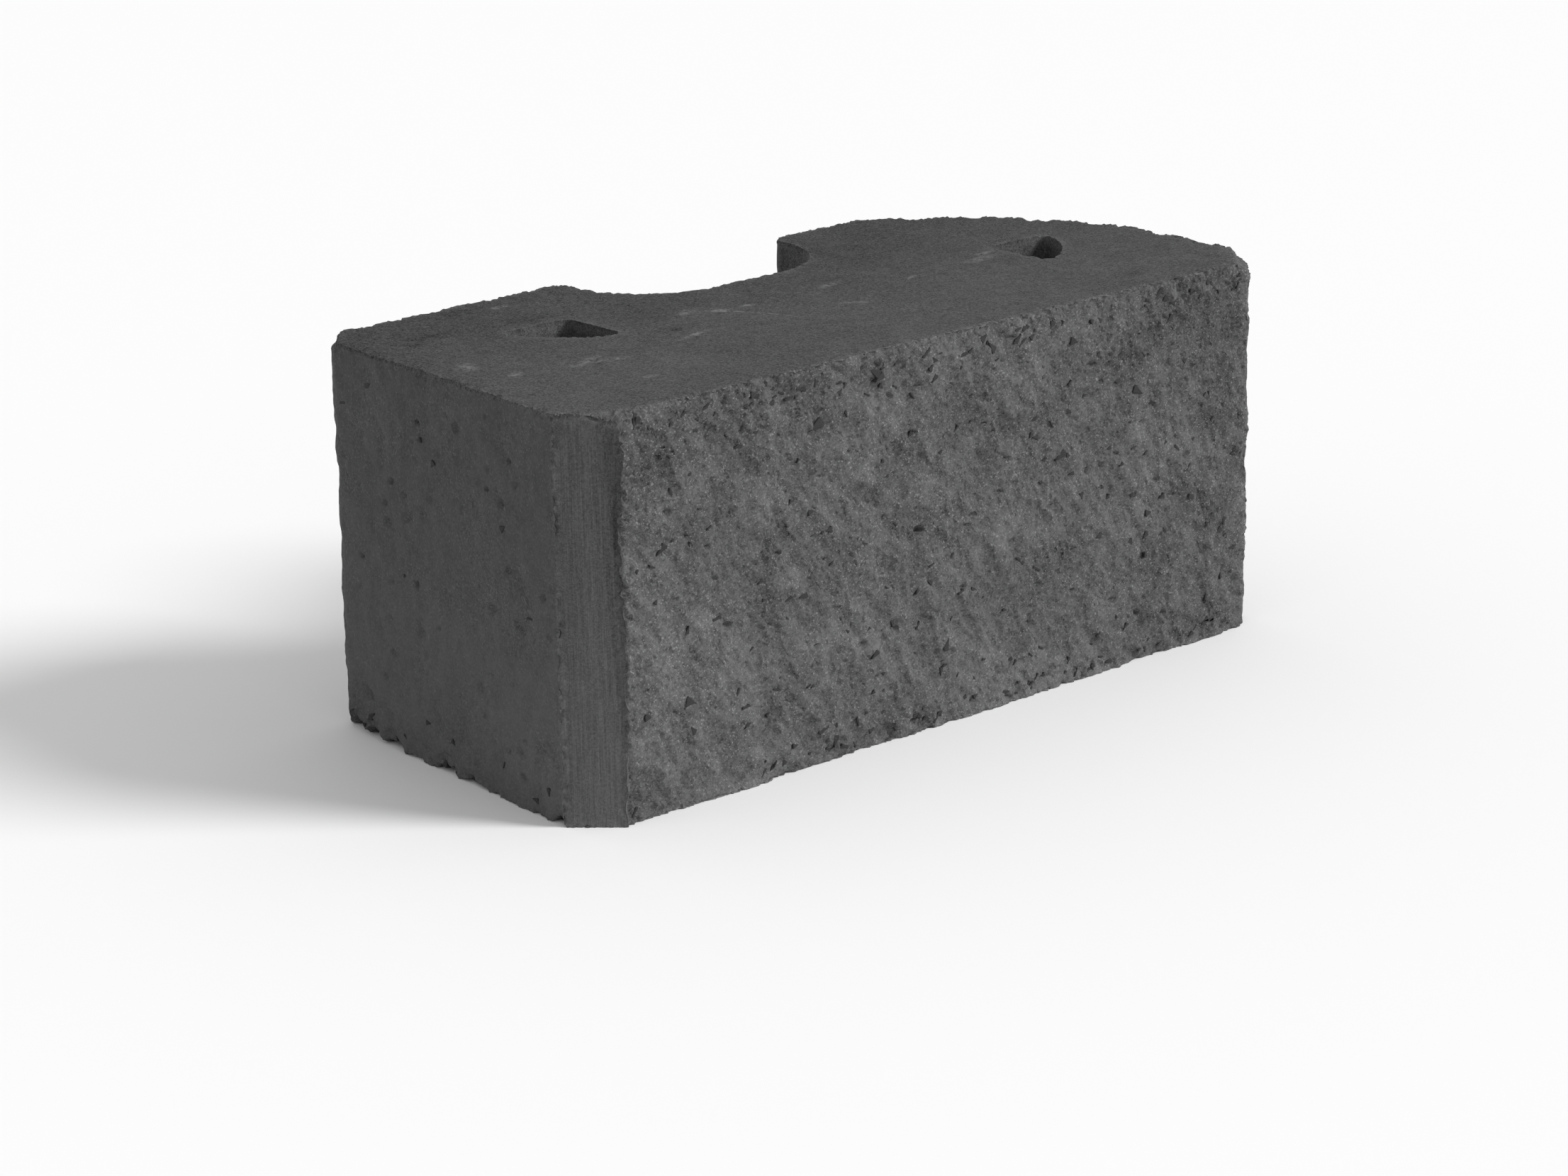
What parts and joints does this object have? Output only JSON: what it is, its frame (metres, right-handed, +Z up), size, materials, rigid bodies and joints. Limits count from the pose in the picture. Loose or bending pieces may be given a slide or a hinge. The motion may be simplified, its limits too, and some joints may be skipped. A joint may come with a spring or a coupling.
{
  "type": "retaining wall corner block",
  "caption": "Split-face concrete corner block for a segmental retaining wall, with a chamfered corner, pin pockets in the top and a rear scoop.",
  "frame": {"origin": "middle of the bounding box, on the bottom bed", "axes": "+X along the front face to the right, +Y from the front split face to the rear, +Z up"},
  "size_m": [0.47, 0.22, 0.2],
  "materials": {
    "charcoal_concrete": "dry-cast concrete coloured through in charcoal, rough on the split faces and fine-grained on the moulded ones"
  },
  "bodies": {
    "root": {"corner_block": "charcoal_concrete"}
  },
  "joints": []
}
